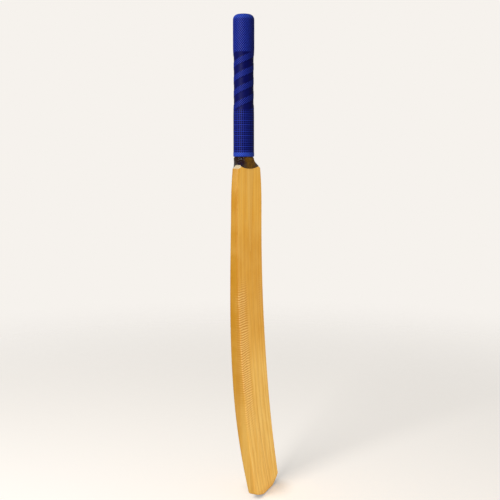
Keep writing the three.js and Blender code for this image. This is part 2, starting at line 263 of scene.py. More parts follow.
def skin(name, rings, closes=False):
    rings = np.asarray(rings)
    count, size = rings.shape[:2]
    faces = []
    for k in range(count if closes else count - 1):
        low, high = k * size, (k + 1) % count * size
        for i in range(size):
            j = (i + 1) % size
            faces.append((low + i, low + j, high + j, high + i))
    if not closes:
        faces.append(tuple(range(size - 1, -1, -1)))
        faces.append(tuple(range((count - 1) * size, count * size)))
    mesh = bpy.data.meshes.new(name)
    mesh.from_pydata(rings.reshape(-1, 3).tolist(), [], faces)
    finish_mesh(mesh)
    return new_piece(name, mesh)


def with_boolean(piece, operation, other):
    """Cut a piece by another closed piece, or join the two, and drop the other."""
    step = piece.modifiers.new("boolean", "BOOLEAN")
    step.operation = operation
    step.solver = "EXACT"
    step.object = other
    bpy.context.view_layer.update()
    evaluated = piece.evaluated_get(bpy.context.evaluated_depsgraph_get())
    made = bpy.data.meshes.new_from_object(evaluated)
    piece.modifiers.clear()
    piece.data = made
    finish_mesh(made)
    bpy.data.objects.remove(other)
    return piece


def levels(low, high, step):
    """Heights from low to high, evenly spaced and no further apart than a step."""
    return np.linspace(low, high, max(1, math.ceil((high - low) / step)) + 1)


print("edges stay crisp above", round(math.degrees(CRISP_ANGLE)), "degrees")

# %% [markdown]
# ## The willow blade
#
# The blade is one cleft of willow, so it is one skin from toe to neck. The levels lie close together where
# the outline turns quickly, round the toe and over the shoulders, and further apart on the long even stretch.

# %% Blade
LEVEL_STEP = 6 * MM
FINE_STEP = 1 * MM
SHOULDER_LEAD = 4 * MM  # the finest levels start this far below the corners of the shoulders
TOE_LEVELS = 19

toe_levels = TOE_CORNER[1] * (1 - np.cos(np.linspace(0, math.pi / 2, TOE_LEVELS)))
main_levels = levels(TOE_CORNER[1], BLADE_LENGTH - SHOULDER_TAPER[0], LEVEL_STEP)[1:]
taper_levels = levels(BLADE_LENGTH - SHOULDER_TAPER[0], BLADE_LENGTH - SHOULDER_LEAD, LEVEL_STEP / 2)[1:]
neck_levels = levels(BLADE_LENGTH - SHOULDER_LEAD, NECK_TOP, FINE_STEP)[1:]
wood_levels = np.concatenate([toe_levels, main_levels, taper_levels, neck_levels])

blade = skin("willow_blade", [wood_ring(z) for z in wood_levels])
print("blade rings:", len(wood_levels))

# %% [markdown]
# ## The socket for the handle
#
# The maker saws a long V out of the blade's top, and the handle is glued into it. Here a wedge does the same
# cut as a boolean, and only a hair's breadth is left for the glue line.

# %% Saw out the socket
SPLICE_TIP = cane_low[2]
SPLICE_TIP_HALF = 1.5 * MM
SPLICE_TOP_HALF = SHAFT_LOWER + 0.3 * MM
GLUE_LINE = 0.12 * MM


def wedge_half(z):
    along = np.clip((z - SPLICE_TIP) / (BLADE_LENGTH - SPLICE_TIP), 0, 1)
    return mix(SPLICE_TIP_HALF, SPLICE_TOP_HALF, along)


def socket_saw():
    outline = []
    for z in (SPLICE_TIP - GLUE_LINE, BLADE_LENGTH, NECK_TOP + LEVEL_STEP):
        outline.append((float(wedge_half(z)) + GLUE_LINE, z))
    left = [(-x, z) for x, z in reversed(outline)]
    reach = 2 * HALF_WIDTH
    return skin("socket_saw", [[(x, y, z) for x, z in outline + left] for y in (reach, -reach)])


with_boolean(blade, "DIFFERENCE", socket_saw())
print("blade faces:", len(blade.data.polygons))

# %% [markdown]
# ## The cane handle
#
# The handle starts as one blank: a wedge that fills the socket and a round shaft above it. It is modelled
# whole, then cut along flat planes into twelve slips and three rubber strips, so that neighbours share one
# outline. Modelling each slip by itself would leave steps where they meet.

# %% The blank
BLANK_STEPS = 24
BLANK_INSET = 0.2 * MM  # keeps the wedge inside the wood's outline
JUST_INSIDE = 0.999  # keeps the two halves of a round cut apart at their ends
DOME_LEVELS = 9
SPINE_POINT = FACE_STEPS + 2 * (CORNER_STEPS + 1) + BACK_STEPS - 1


def wedge_cut(z):
    """Width, front and back of the blank inside the blade and the neck."""
    half = min(float(wedge_half(z)), half_width(z) - BLANK_INSET)
    outline = wood_ring(z)[: SPINE_POINT + 1]
    widest = int(np.argmax(outline[:, 0]))
    x = half * np.sin(np.linspace(-math.pi / 2, math.pi / 2, BLANK_STEPS))
    front = np.interp(np.abs(x), outline[: widest + 1, 0], outline[: widest + 1, 1])
    back = np.interp(np.abs(x), outline[widest:, 0][::-1], outline[widest:, 1][::-1])
    return x, front, back


def shaft_cut(z):
    """Width, front and back of the round shaft, with its end rounded over."""
    under = max(0.0, z - (shaft_top - END_ROUND))
    radius = shaft_radius(z) - END_ROUND + math.sqrt(max(0.0, END_ROUND**2 - under**2))
    x = radius * JUST_INSIDE * np.sin(np.linspace(-math.pi / 2, math.pi / 2, BLANK_STEPS))
    depth = np.sqrt(radius**2 - x**2)
    return x, axis_y - depth, axis_y + depth


def blank_ring(z):
    x, front, back = wedge_cut(z) if z < NECK_TOP else shaft_cut(z)
    heights = np.full(BLANK_STEPS, z)
    forward = np.column_stack([x, front, heights])
    return np.vstack([forward, np.column_stack([x, back, heights])[::-1]])


dome_levels = shaft_top - END_ROUND * (1 - np.sin(np.linspace(0, math.pi / 2, DOME_LEVELS)))
blank_levels = np.concatenate([
    levels(SPLICE_TIP, BLADE_LENGTH - SHOULDER_LEAD, LEVEL_STEP),
    neck_levels,
    levels(NECK_TOP, shaft_top - END_ROUND, LEVEL_STEP)[1:],
    dome_levels[1:],
])
blank = skin("handle_blank", [blank_ring(z) for z in blank_levels])
print("blank runs from", round(SPLICE_TIP, 3), "to", round(shaft_top, 4))

# %% [markdown]
# ## Cutting along flat planes
#
# A bandsaw makes a flat cut, and so does `bisect_plane`. It is quicker and cleaner than a boolean with a box,
# and each open rim is filled with one flat face, so every slip is a closed piece.


# %% The saw
def trimmed(cutter, low, high):
    """Cut a bmesh back to the space between two corners and close every cut face."""
    for axis in range(3):
        for corner, side in ((low, -1), (high, 1)):
            if corner[axis] is None:
                continue
            point = Vector((0, 0, 0))
            point[axis] = corner[axis]
            normal = Vector((0, 0, 0))
            normal[axis] = side
            everything = cutter.verts[:] + cutter.edges[:] + cutter.faces[:]
            cut = bmesh.ops.bisect_plane(
                cutter, geom=everything, plane_co=point, plane_no=normal, clear_outer=True
            )
            rim = [item for item in cut["geom_cut"] if isinstance(item, bmesh.types.BMEdge)]
            if rim:
                bmesh.ops.edgeloop_fill(cutter, edges=rim)
    return cutter


def from_blank(name, low, high):
    cutter = bmesh.new()
    cutter.from_mesh(blank.data)
    trimmed(cutter, low, high)
    mesh = bpy.data.meshes.new(name)
    cutter.to_mesh(mesh)
    cutter.free()
    finish_mesh(mesh)
    return new_piece(name, mesh)


print("blank faces before cutting:", len(blank.data.polygons))

# %% [markdown]
# ## Slips and rubber strips
#
# Four columns of three slips make the handle, with a strip of rubber in each of the three saw cuts between
# the columns. The rubber stops just above the shoulders, and below it the slips close up on a bare glue line.
# Each slip is cut as two lengths, one beside the rubber and one below it, which are then joined.

# %% Where the planes lie
columns = ["left_outer", "left_inner", "right_inner", "right_outer"]
rows = ["front", "middle", "back"]
strips = ["left", "middle", "right"]
half_line = GLUE_LINE / 2
rubber_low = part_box("rubber_strip_middle")[0][2]


def between(node, neighbour, axis):
    """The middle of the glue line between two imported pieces, along one axis."""
    return (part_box(node)[1][axis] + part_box(neighbour)[0][axis]) / 2


row_cuts = [between(f"cane_left_inner_{low}", f"cane_left_inner_{high}", 1)
            for low, high in zip(rows, rows[1:])]
row_sides = list(zip([None] + [cut + half_line for cut in row_cuts],
                     [cut - half_line for cut in row_cuts] + [None]))
strip_boxes = [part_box(f"rubber_strip_{strip}") for strip in strips]
strip_sides = [(low[0] - half_line, high[0] + half_line) for low, high in strip_boxes]


def column_sides(i, above):
    """Where one column of slips starts and ends, above or below the rubber's lower end."""
    sides = [None, None]
    if i > 0:
        strip = strip_sides[i - 1]
        sides[0] = strip[1] if above else (strip[0] + strip[1]) / 2 + half_line
    if i < len(strips):
        strip = strip_sides[i]
        sides[1] = strip[0] if above else (strip[0] + strip[1]) / 2 - half_line
    return sides


print("rubber starts at", round(rubber_low / MM, 1), "mm")

# %% Twelve slips and three strips
SLIP_LEAD = 3 * GLUE_LINE  # the upper length starts this far below the rubber, inside the lower one


def cane_slip(i, k):
    left, right = column_sides(i, True)
    front, back = row_sides[k]
    base = rubber_low - SLIP_LEAD
    beside = from_blank(f"cane_slip_{columns[i]}_{rows[k]}", (left, front, base), (right, back, None))
    left, right = column_sides(i, False)
    below = from_blank("wedge_part", (left, front, None), (right, back, rubber_low - GLUE_LINE))
    return with_boolean(beside, "UNION", below)


cane_pieces = {}
for i, column in enumerate(columns):
    for k, row in enumerate(rows):
        cane_pieces[f"cane_{column}_{row}"] = cane_slip(i, k)

strip_pieces = {}
for (left, right), strip in zip(strip_sides, strips):
    low, high = (left + half_line, None, rubber_low), (right - half_line, None, None)
    strip_pieces[f"rubber_strip_{strip}"] = from_blank(f"rubber_insert_{strip}", low, high)
bpy.data.objects.remove(blank)
print(len(cane_pieces), "cane slips and", len(strip_pieces), "rubber strips cut")

# %% [markdown]
# ## Bound thread
#
# The neck is whipped with waxed thread and flooded with varnish. Every turn is a real ridge of the mesh,
# because a bump map would leave the outline smooth. The turns sag a little on the face, where the varnish
# also pools and smooths them over. Two values, `relief` and `pooled`, are stored on the mesh, so that the
# material can paint shade into the grooves and tint the pools.

# %% Thread helpers
THREAD = 0.85 * MM  # height of one turn
TURN_DEPTH = 0.42  # depth of the groove between two turns, as a share of a turn
TURN_SAMPLES = 7  # rings of points on one turn
THREAD_GAP = 0.3 * MM  # from the wood to the foot of the thread
SHAFT_WALL = 0.7 * MM
INNER_GAP = 0.1 * MM


def directions(count):
    return np.linspace(-math.pi, math.pi, count, endpoint=False)


def about_axis(radius, angle, z):
    """One ring of points about the handle's axis."""
    heights = np.broadcast_to(z, angle.shape)
    return np.column_stack([radius * np.cos(angle), radius * np.sin(angle) + axis_y, heights])


def thread_round(turns_up, angle):
    """1 on the crest of a turn and 0 in the groove, for a thread that climbs as it goes round."""
    phase = turns_up - (angle + math.pi) / (2 * math.pi)
    return np.sqrt(np.clip(1 - (2 * (phase % 1) - 1) ** 2, 0, 1))


def store(piece, name, values):
    layer = piece.data.attributes.new(name=name, type="FLOAT", domain="POINT")
    layer.data.foreach_set("value", np.asarray(values, dtype=np.float32).ravel())


print("thread turns per centimetre:", round(10 * MM / THREAD, 1))

# %% [markdown]
# ## The wood under the neck's thread
#
# The neck is neither round nor square, so the thread has to follow the wood in every direction. A table of
# the wood's radius, one row for each half millimetre of height, lets a sagging turn read the right radius
# at each of its points.

# %% Radius of the neck
TABLE_STEP = 0.5 * MM


def even_radii(z, count):
    """The wood's radius at one height, in evenly spaced directions about the axis."""
    ring = wood_ring(z)
    angle = np.arctan2(ring[:, 1] - axis_y, ring[:, 0])
    order = np.argsort(angle)
    angle, radius = angle[order], np.hypot(ring[order, 0], ring[order, 1] - axis_y)
    return np.interp(directions(count), angle, radius, period=2 * math.pi)


def table_radius(z, heights, table):
    """The radius at one height in each direction, read between the table's rows."""
    row = np.clip((z - heights[0]) / (heights[1] - heights[0]), 0, len(heights) - 1.001)
    low = row.astype(int)
    index = np.arange(table.shape[1])
    return mix(table[low, index], table[low + 1, index], row - low)


print("radius of the neck at its foot, least and most, mm:",
      [round(float(pick(even_radii(BLADE_LENGTH, 180))) / MM, 1) for pick in (np.min, np.max)])

# %% [markdown]
# ## Thread on the neck
#
# The lowest turn sags on the face and the back and stands higher at the two sides, because thread slides off
# a slope. The turns above follow it and level out. Where the varnish has pooled, on the face and below the
# grip, the ridges are shallow. Each turn is pulled a little more or less tight, by a fixed random draw.

# %% Neck thread
NECK_SAG = 7 * MM
NECK_SIDE_LOW = 5.5 * MM
NECK_WALL = 2.0 * MM
WALL_THINS = (3 * MM, 2.8 * MM)  # how far below the grip the wall starts to thin, and over what height
NECK_INNER_GAP = 0.05 * MM
FACE_POOL = (0.34, 0.4)  # how far round the face the pool starts, and how softly
POOL_FADE = 6 * MM
POOL_TOP = 2 * MM  # above the grip's lower edge, where the pool has gone
POOL_TURNS = 2.5  # the lowest turns show through the pool
POOLED_RIDGE = 0.2  # share of a ridge's depth that a full pool leaves
TIGHTNESS = (0.7, 1.0)
TURN_DRAWS = 60
INSIDE_RINGS = 24
rng = np.random.default_rng(7)


def neck_pool(angle, z, turns_up):
    """1 where varnish has pooled."""
    start, softness = FACE_POOL
    under_grip = grip_low[2]
    pool = ease((-np.sin(angle) - start) / softness) * ease((under_grip + POOL_TOP - z) / POOL_FADE)
    return pool * mix(0.25, 1, ease(turns_up / POOL_TURNS))


def neck_thread(around=180):
    top = neck_high[2]
    angle = directions(around)
    heights = np.arange(BLADE_LENGTH - SHOULDER_LEAD, top + 2 * MM, TABLE_STEP)
    table = np.array([even_radii(z, around) for z in heights])
    corner = even_radii(BLADE_LENGTH - 1 * MM, around)
    across = np.clip(np.abs(corner * np.cos(angle)) / (HALF_WIDTH - SHOULDER_TAPER[1]), 0, 1)
    lowest = BLADE_LENGTH + NECK_SIDE_LOW - NECK_SAG * (1 - across**2)
    turns = (top - BLADE_LENGTH) / THREAD
    steps = int(turns * TURN_SAMPLES)
    tightness = np.interp(np.arange(steps + 1) / TURN_SAMPLES, np.arange(TURN_DRAWS),
                          rng.uniform(*TIGHTNESS, TURN_DRAWS))
    rings, relief, pooled = [], [], []
    for k in range(steps + 1):
        t = k / steps
        z = mix(lowest, top, t)
        crest = thread_round(turns * t, angle)
        pool = neck_pool(angle, z, t * turns)
        wall = mix(NECK_WALL, SHAFT_WALL, ease((z - grip_low[2] + WALL_THINS[0]) / WALL_THINS[1]))
        end = ease(t * turns / 0.8) * ease((1 - t) * turns / 0.5)
        ridges = THREAD * TURN_DEPTH * tightness[k] * (crest - 1) * mix(1, POOLED_RIDGE, pool)
        radius = table_radius(z, heights, table)
        radius = radius + THREAD_GAP + wall * mix(0.35, 1, end) + ridges * end
        rings.append(about_axis(radius, angle, z))
        relief.append(mix(crest, 1, 0.7 * pool))
        pooled.append(pool)
    for t in np.linspace(1, 0, INSIDE_RINGS):
        z = mix(lowest, top, t)
        rings.append(about_axis(table_radius(z, heights, table) + NECK_INNER_GAP, angle, z))
        relief.append(np.zeros(around))
        pooled.append(np.zeros(around))
    piece = skin("neck_thread", rings, closes=True)
    store(piece, "relief", relief)
    store(piece, "pooled", pooled)
    return piece


neck = neck_thread()
print("neck thread faces:", len(neck.data.polygons))

# %% [markdown]
# ## Hidden bands
#
# Two single layers of thread bind the shaft under the grip. The shaft is round there, so each band is a plain
# sleeve with ridges, and needs no table.


# %% Thread on the shaft
def shaft_thread(name, node, around=96):
    low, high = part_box(node)
    turns = (high[2] - low[2]) / THREAD
    steps = int(turns * TURN_SAMPLES)
    angle = directions(around)
    rings, relief = [], []
    for k in range(steps + 1):
        z = mix(low[2], high[2], k / steps)
        crest = thread_round(turns * k / steps, angle)
        radius = shaft_radius(z) + THREAD_GAP + SHAFT_WALL + THREAD * TURN_DEPTH * (crest - 1)
        rings.append(about_axis(radius, angle, z))
        relief.append(crest)
    for z in (high[2], low[2]):
        rings.append(about_axis(shaft_radius(z) + INNER_GAP, angle, z))
        relief.append(np.zeros(around))
    piece = skin(name, rings, closes=True)
    store(piece, "relief", relief)
    store(piece, "pooled", np.zeros(len(piece.data.vertices)))
    return piece


lower_thread = shaft_thread("lower_thread", "lower_binding")
upper_thread = shaft_thread("upper_thread", "upper_binding")
print("faces of one band:", len(lower_thread.data.polygons))

# %% [markdown]
# ## The moulded grip
#
# The grip is a rubber sleeve with three moulded patterns: a diamond net at the top, a spiral of chequered
# bands round the middle and a square grid at the bottom. The patterns are sums of ridges that run round,
# along or aslant, so they are worked out point by point and pushed out of the sleeve's wall as real relief.
# A displacement texture could do it too, but a formula keeps every line of the pattern in step with its
# neighbours all the way round.

# %% Sizes of the patterns
NET_LOW = 785 * MM
GRID_HIGH = 687 * MM
COLLAR_HIGH = grip_low[2] + 8.5 * MM
ROUND_COUNT = 30  # ridges round the grip in the net, the grid and the collar
NET_HEIGHT = 4.4 * MM
GRID_HEIGHT = 3.75 * MM
COLLAR_HEIGHT = 3.6 * MM
STRONG_SPACING = 6.4 * MM  # the rings of the grid swell and fade over this height
CHECK_COUNT = 32
CHECK_HEIGHT = 3.6 * MM
SPIRAL_STARTS = 2
SPIRAL_SPACING = 24.2 * MM
SPIRAL_CENTRE = 749.3 * MM  # height of one raised band on the side that faces the camera
SPIRAL_SHARE = 0.52  # share of the spacing that is raised
CAMERA_AZIMUTH = math.radians(-66)
print("net from", round(NET_LOW / MM), "mm up, grid from", round(GRID_HIGH / MM), "mm down")


# %% Ridges that make the patterns
def ridge(t, width):
    """1 on whole numbers of t, falling off to either side."""
    return np.exp(-(((t - np.round(t)) / width) ** 2))


def crossed(around, up, width):
    """Two sets of slanting ridges that cross, like a net."""
    return np.maximum(ridge(around + up, width), ridge(around - up, width))


def square_grid(around, z):
    strong = 0.8 + 0.1 * math.cos(2 * math.pi * (z - GRID_HIGH) / STRONG_SPACING)
    rings = ridge((z - GRID_HIGH) / GRID_HEIGHT, 0.22)
    return np.maximum(ridge(around, 0.2) * 0.8, rings * strong)


def spiral(turn, z):
    """Raised bands that climb round the grip, and the narrow groove along each of their edges."""
    facing = (CAMERA_AZIMUTH - math.pi / 2) / (2 * math.pi)
    along = (z - SPIRAL_CENTRE) / SPIRAL_SPACING - SPIRAL_STARTS * (turn - facing)
    from_band = np.abs(along - np.round(along))
    band = 1 - ease((from_band - SPIRAL_SHARE / 2 + 0.035) / 0.07)
    groove = np.exp(-(((from_band - SPIRAL_SHARE / 2) / 0.045) ** 2))
    return band, groove


print("ridge at 0, 0.1 and 0.5:", [round(float(ridge(t, 0.2)), 2) for t in (0, 0.1, 0.5)])

# %% [markdown]
# ## One level of the grip
#
# Each pattern fades into the next over three millimetres. The function gives two answers for the same point:
# how far the rubber stands out there, and how light it should look, which is the same ridges on a scale from
# 0 to 1: a painted highlight on the ridges and painted shade in the grooves.

# %% Relief of the grip
PATTERN_BLEND = 3 * MM


def grip_relief(angle, z):
    turn = angle / (2 * math.pi)
    around = ROUND_COUNT * turn
    net = crossed(around, (z - NET_LOW) / NET_HEIGHT, 0.17)
    grid = square_grid(around, z)
    band, groove = spiral(turn, z)
    checks = 1 - crossed(CHECK_COUNT * turn, z / CHECK_HEIGHT, 0.2)
    collar_ribs = crossed(around, (z - grip_low[2]) / COLLAR_HEIGHT, 0.2)
    in_net = ease((z - NET_LOW + PATTERN_BLEND / 2) / PATTERN_BLEND)
    in_grid = ease((GRID_HIGH + PATTERN_BLEND / 2 - z) / PATTERN_BLEND)
    in_middle = (1 - in_net) * (1 - in_grid)
    collar = ease((COLLAR_HIGH - z) / (PATTERN_BLEND / 2))
    height = in_net * 0.40 * net + in_grid * (1 - collar) * 0.28 * grid + collar * (0.2 + 0.25 * collar_ribs)
    height = height + in_middle * (band * (0.1 + 0.4 * checks) + 0.05 * (1 - band) - 0.08 * groove)
    # Tone: painted highlight on ridges, painted shade in grooves and recesses.
    tone = in_net * net + in_grid * (1 - collar) * grid + collar * (0.2 + 0.8 * collar_ribs)
    tone = tone + in_middle * (1 - 0.4 * groove) * (band * (0.1 + 0.9 * checks) + 0.3 * (1 - band))
    return height * MM, tone, collar


all_heights = levels(grip_low[2], grip_high[2], 1 * MM)
highest = max(float(grip_relief(directions(ROUND_COUNT * 8), z)[0].max()) for z in all_heights)
print("relief stands out up to", round(highest / MM, 2), "mm")

# %% [markdown]
# ## The sleeve
#
# The sleeve goes up the shaft and rolls over its rounded end, where a hole is left that shows the cane. One
# closed run of rings does it: round the bottom lip, up the outside, over the end and down the inside.

# %% Walls of the sleeve
GRIP_WALL = 2.7 * MM
RELIEF_ROOM = 0.35 * MM  # the plain wall stays this far inside, and the ridges fill the room
BOTTOM_LIP = 0.9 * MM
GRIP_STEP = 0.6 * MM
grip_shoulder = shaft_top - END_ROUND
grip_dome = END_ROUND + GRIP_WALL
grip_wrap = math.asin((grip_high[2] - grip_shoulder) / grip_dome)  # how far the rubber rolls over the end


def end_radius(dome, a):
    """Radius of a dome over the handle's end, at an angle above the level."""
    return float(shaft_radius(grip_shoulder)) - END_ROUND + dome * math.cos(a)


def bottom_lip():
    radius = float(shaft_radius(grip_low[2])) + GRIP_WALL - RELIEF_ROOM
    return [(radius - BOTTOM_LIP * (1 - math.cos(a)), grip_low[2] + BOTTOM_LIP * (1 - math.sin(a)))
            for a in np.linspace(math.pi / 2, 0.25, 5)]


def outer_wall():
    """Radius, height and the two parts of the outward direction, from the lip to the end's rim."""
    wall = [(float(shaft_radius(z)) + GRIP_WALL - RELIEF_ROOM, z, 1.0, 0.0)
            for z in levels(grip_low[2] + BOTTOM_LIP, grip_shoulder, GRIP_STEP)]
    dome = grip_dome - RELIEF_ROOM
    for a in np.linspace(0, grip_wrap, int(grip_wrap * grip_dome / GRIP_STEP))[1:-1]:
        wall.append((end_radius(dome, a), grip_shoulder + dome * math.sin(a), math.cos(a), math.sin(a)))
    return wall


print("rings up the outside of the grip:", len(bottom_lip()) + len(outer_wall()))

# %% Build the grip
DOME_HIGHLIGHT_LOW = grip_high[2] - 11 * MM  # the top of the grip carries a painted highlight above this
INSIDE_GAP = 1.25 * MM
RIM_IN = 1.6 * MM
RIM_DOWN = 1.9 * MM
END_RINGS = 7


def grip_sleeve(around=216):
    angle = directions(around)
    rings, tones, rim_highlights = [], [], []

    def add_ring(radius, z, tone, collar):
        rings.append(about_axis(radius, angle, z))
        tones.append(np.broadcast_to(tone, angle.shape))
        rim_highlights.append(np.broadcast_to(collar, angle.shape))

    for radius, z in bottom_lip():
        add_ring(radius, z, 0.6, 1.0)
    for radius, z, out, up in outer_wall():
        height, tone, collar = grip_relief(angle, z)
        fade = ease((z - grip_low[2]) / (2 * MM)) * mix(0.35, 1, ease((out - 0.25) / 0.5))
        height = height * fade
        # Painted highlight on the bottom collar and the top of the dome.
        rim_highlight = max(collar, ease((z - DOME_HIGHLIGHT_LOW) / (6 * MM)))
        add_ring(radius + height * out, z + height * up, tone, rim_highlight)
    rim_height = grip_shoulder + (grip_dome - RIM_DOWN) * math.sin(grip_wrap)
    add_ring(end_radius(grip_dome - RIM_IN, grip_wrap), rim_height, 0.3, 0.0)
    inner_dome = END_ROUND + INSIDE_GAP
    for a in np.linspace(grip_wrap, 0, END_RINGS)[1:]:
        add_ring(end_radius(inner_dome, a), grip_shoulder + inner_dome * math.sin(a), 0.0, 0.0)
    for z in levels(grip_low[2], grip_shoulder, 2 * WAIST_BLEND / 3)[::-1][1:]:
        add_ring(float(shaft_radius(z)) + INSIDE_GAP, z, 0.0, 0.0)
    piece = skin("rubber_grip", rings, closes=True)
    store(piece, "relief", tones)
    # The collar value carries the painted highlight of both rims.
    store(piece, "collar", rim_highlights)
    return piece


grip = grip_sleeve()
print("grip faces:", len(grip.data.polygons))

# %% [markdown]
# ## Small tools for materials
#
# A material here is a handful of nodes. `add` makes one node, sets its values and links its inputs in one
# line, so that each finish reads as a recipe. Node links written out one by one would hide the recipe.


# %% Node helpers
def linear(red, green, blue):
    """A colour as seen on screen, 0 to 255, turned into the linear values that shaders use."""
    parts = [c / 255 for c in (red, green, blue)]
    return tuple(c / 12.92 if c <= 0.04045 else ((c + 0.055) / 1.055) ** 2.4 for c in parts) + (1.0,)


def add(tree, kind, inputs=None, **settings):
    node = tree.nodes.new(kind)
    for key, value in settings.items():
        setattr(node, key, value)
    for key, value in (inputs or {}).items():
        if isinstance(value, bpy.types.NodeSocket):
            tree.links.new(value, node.inputs[key])
        else:
            node.inputs[key].default_value = value
    return node


def maths(tree, operation, a, b=0.0, c=0.0):
    return add(tree, "ShaderNodeMath", {0: a, 1: b, 2: c}, operation=operation).outputs[0]


def times(tree, a, b):
    return maths(tree, "MULTIPLY", a, b)


def blend(tree, factor, a, b, mode="MIX"):
    node = add(tree, "ShaderNodeMix", {0: factor, 6: a, 7: b}, data_type="RGBA", blend_type=mode)
    return node.outputs[2]


def soft_step(tree, value, low, high, to_low=0.0, to_high=1.0):
    node = add(tree, "ShaderNodeMapRange", {0: value, 1: low, 2: high, 3: to_low, 4: to_high},
               interpolation_type="SMOOTHSTEP")
    return node.outputs[0]


print("a middle grey on screen is", round(linear(128, 128, 128)[0], 3), "in linear light")


# %% Helpers for places and surfaces
def stretched_noise(tree, vector, scale, detail=2.0, roughness=0.5):
    """Noise with its own scale along each axis, for streaks and fibres."""
    placed = add(tree, "ShaderNodeVectorMath", {0: vector, 1: scale}, operation="MULTIPLY").outputs[0]
    noise = add(tree, "ShaderNodeTexNoise",
                {"Vector": placed, "Scale": 1.0, "Detail": detail, "Roughness": roughness})
    return noise.outputs["Fac"]


def upward(tree):
    """1 on surfaces that look straight up, -1 on those that look down."""
    normal = add(tree, "ShaderNodeNewGeometry").outputs["Normal"]
    return add(tree, "ShaderNodeSeparateXYZ", {0: normal}).outputs["Z"]


def stored(tree, name):
    """A value that was stored on the mesh."""
    return add(tree, "ShaderNodeAttribute", None, attribute_name=name).outputs["Fac"]


def bumped(tree, height, strength, distance, beneath=None):
    inputs = {"Height": height, "Strength": strength, "Distance": distance}
    if beneath is not None:
        inputs["Normal"] = beneath
    return add(tree, "ShaderNodeBump", inputs).outputs[0]


def new_group(name, inputs, outputs):
    tree = bpy.data.node_groups.new(name, "ShaderNodeTree")
    for label, kind, value in inputs:
        socket = tree.interface.new_socket(label, in_out="INPUT", socket_type=kind)
        if value is not None:
            socket.default_value = value
    for label in outputs:
        tree.interface.new_socket(label, in_out="OUTPUT", socket_type="NodeSocketFloat")
    return tree, tree.nodes.new("NodeGroupInput"), tree.nodes.new("NodeGroupOutput")


def placed_group(tree, group, inputs):
    return add(tree, "ShaderNodeGroup", inputs, node_tree=group).outputs


def new_material(name):
    material = bpy.data.materials.new(name)
    material.use_nodes = True
    tree = material.node_tree
    shader = tree.nodes["Principled BSDF"]
    place = tree.nodes.new("ShaderNodeTexCoord").outputs["Object"]
    return material, tree, shader, place


print("materials so far:", len(bpy.data.materials))

# %% [markdown]
# ## Grain, built once
#
# Willow and cane both show straight growth lines, long soft streaks, fine fibres and short dark flecks. One
# node group makes all four from the place on the bat, and each wood sets its own spacing and waviness. The
# lines run through the whole thickness, so they meet correctly round the edge and over the toe, which lines
# painted on each face would not.


# %% Grain group
def growth_lines(tree, place, given):
    """Sawtooth lines: each darkens slowly and ends sharply, as a year's growth does."""
    parts = add(tree, "ShaderNodeSeparateXYZ", {0: place}).outputs
    slow = stretched_noise(tree, place, (9, 9, 2.6), 1.0)
    drift = times(tree, maths(tree, "SUBTRACT", slow, 0.5), given.outputs["Waviness"])
    across = maths(tree, "MULTIPLY_ADD", parts["Y"], given.outputs["Slant"], parts["X"])
    across = maths(tree, "MULTIPLY_ADD", drift, 2.0, across)
    uneven = stretched_noise(tree, place, (22, 5, 0.2), 0.0)
    count = maths(tree, "DIVIDE", across, given.outputs["Line Spacing"])
    count = maths(tree, "MULTIPLY_ADD", uneven, 3.2, count)
    share = maths(tree, "FRACT", count)
    return times(tree, soft_step(tree, share, 0.45, 0.93), soft_step(tree, share, 0.94, 1.0, 1.0, 0.0))


def build_grain():
    tree, given, result = new_group(
        "Straight grain",
        [("Vector", "NodeSocketVector", None), ("Line Spacing", "NodeSocketFloat", 0.009),
         ("Waviness", "NodeSocketFloat", 0.003), ("Slant", "NodeSocketFloat", 0.3)],
        ["Lines", "Streaks", "Fibre", "Flecks"],
    )
    place = given.outputs["Vector"]
    tree.links.new(growth_lines(tree, place, given), result.inputs["Lines"])
    tree.links.new(stretched_noise(tree, place, (150, 150, 3.2), 3.0, 0.55), result.inputs["Streaks"])
    tree.links.new(stretched_noise(tree, place, (1300, 1300, 26), 2.0), result.inputs["Fibre"])
    fleck = stretched_noise(tree, place, (900, 900, 90), 1.0)
    tree.links.new(soft_step(tree, fleck, 0.66, 0.76), result.inputs["Flecks"])
    return tree


grain_group = build_grain()
print("grain group nodes:", len(grain_group.nodes))

# %% [markdown]
# ## Handling marks, built once
#
# Everything that is held or leant against a wall picks up faint uneven marks. The group gives a slow cloud
# and a fine speckle, which each material uses to vary its roughness and tone.


# %% Handling group
def build_handling():
    tree, given, result = new_group(
        "Handling marks",
        [("Vector", "NodeSocketVector", None), ("Cloud Scale", "NodeSocketFloat", 30.0),
         ("Speckle Scale", "NodeSocketFloat", 1500.0)],
        ["Cloud", "Speckle"],
    )
    place = given.outputs["Vector"]
    cloud = add(tree, "ShaderNodeTexNoise",
                {"Vector": place, "Scale": given.outputs["Cloud Scale"], "Detail": 4.0}).outputs["Fac"]
    speckle = add(tree, "ShaderNodeTexNoise",
                  {"Vector": place, "Scale": given.outputs["Speckle Scale"], "Detail": 1.0}).outputs["Fac"]
    tree.links.new(soft_step(tree, cloud, 0.35, 0.7), result.inputs["Cloud"])
    tree.links.new(speckle, result.inputs["Speckle"])
    return tree


handling_group = build_handling()


def handling_marks(tree, place, cloud_scale, speckle_scale):
    return placed_group(tree, handling_group, {"Vector": place, "Cloud Scale": cloud_scale,
                                               "Speckle Scale": speckle_scale})


print("handling group nodes:", len(handling_group.nodes))

# %% [markdown]
# ## Ripples of the plane
#
# The plane leaves faint ripples along the near edge of the face, a few millimetres apart. They run level
# across the blade and are too shallow for geometry, so they are a little bump and narrow bars of painted
# highlight on the crests and painted shade in the hollows. They fade out where the maker sanded, and break
# off here and there.

# %% Ripple bars
RIPPLE_PERIOD = 4.15 * MM
RIPPLES_START = (100 * MM, 200 * MM)
RIPPLES_END = (360 * MM, 400 * MM)
NEAR_RIPPLES = (-34 * MM, -10 * MM)
FAR_RIPPLES = (26 * MM, 36 * MM)
FAR_RIPPLES_START = (320 * MM, 340 * MM)
FAR_SHARE = 0.4
PLANED_WAY = (-0.35, -0.94, 0.0)  # the face, turned a little towards the near edge


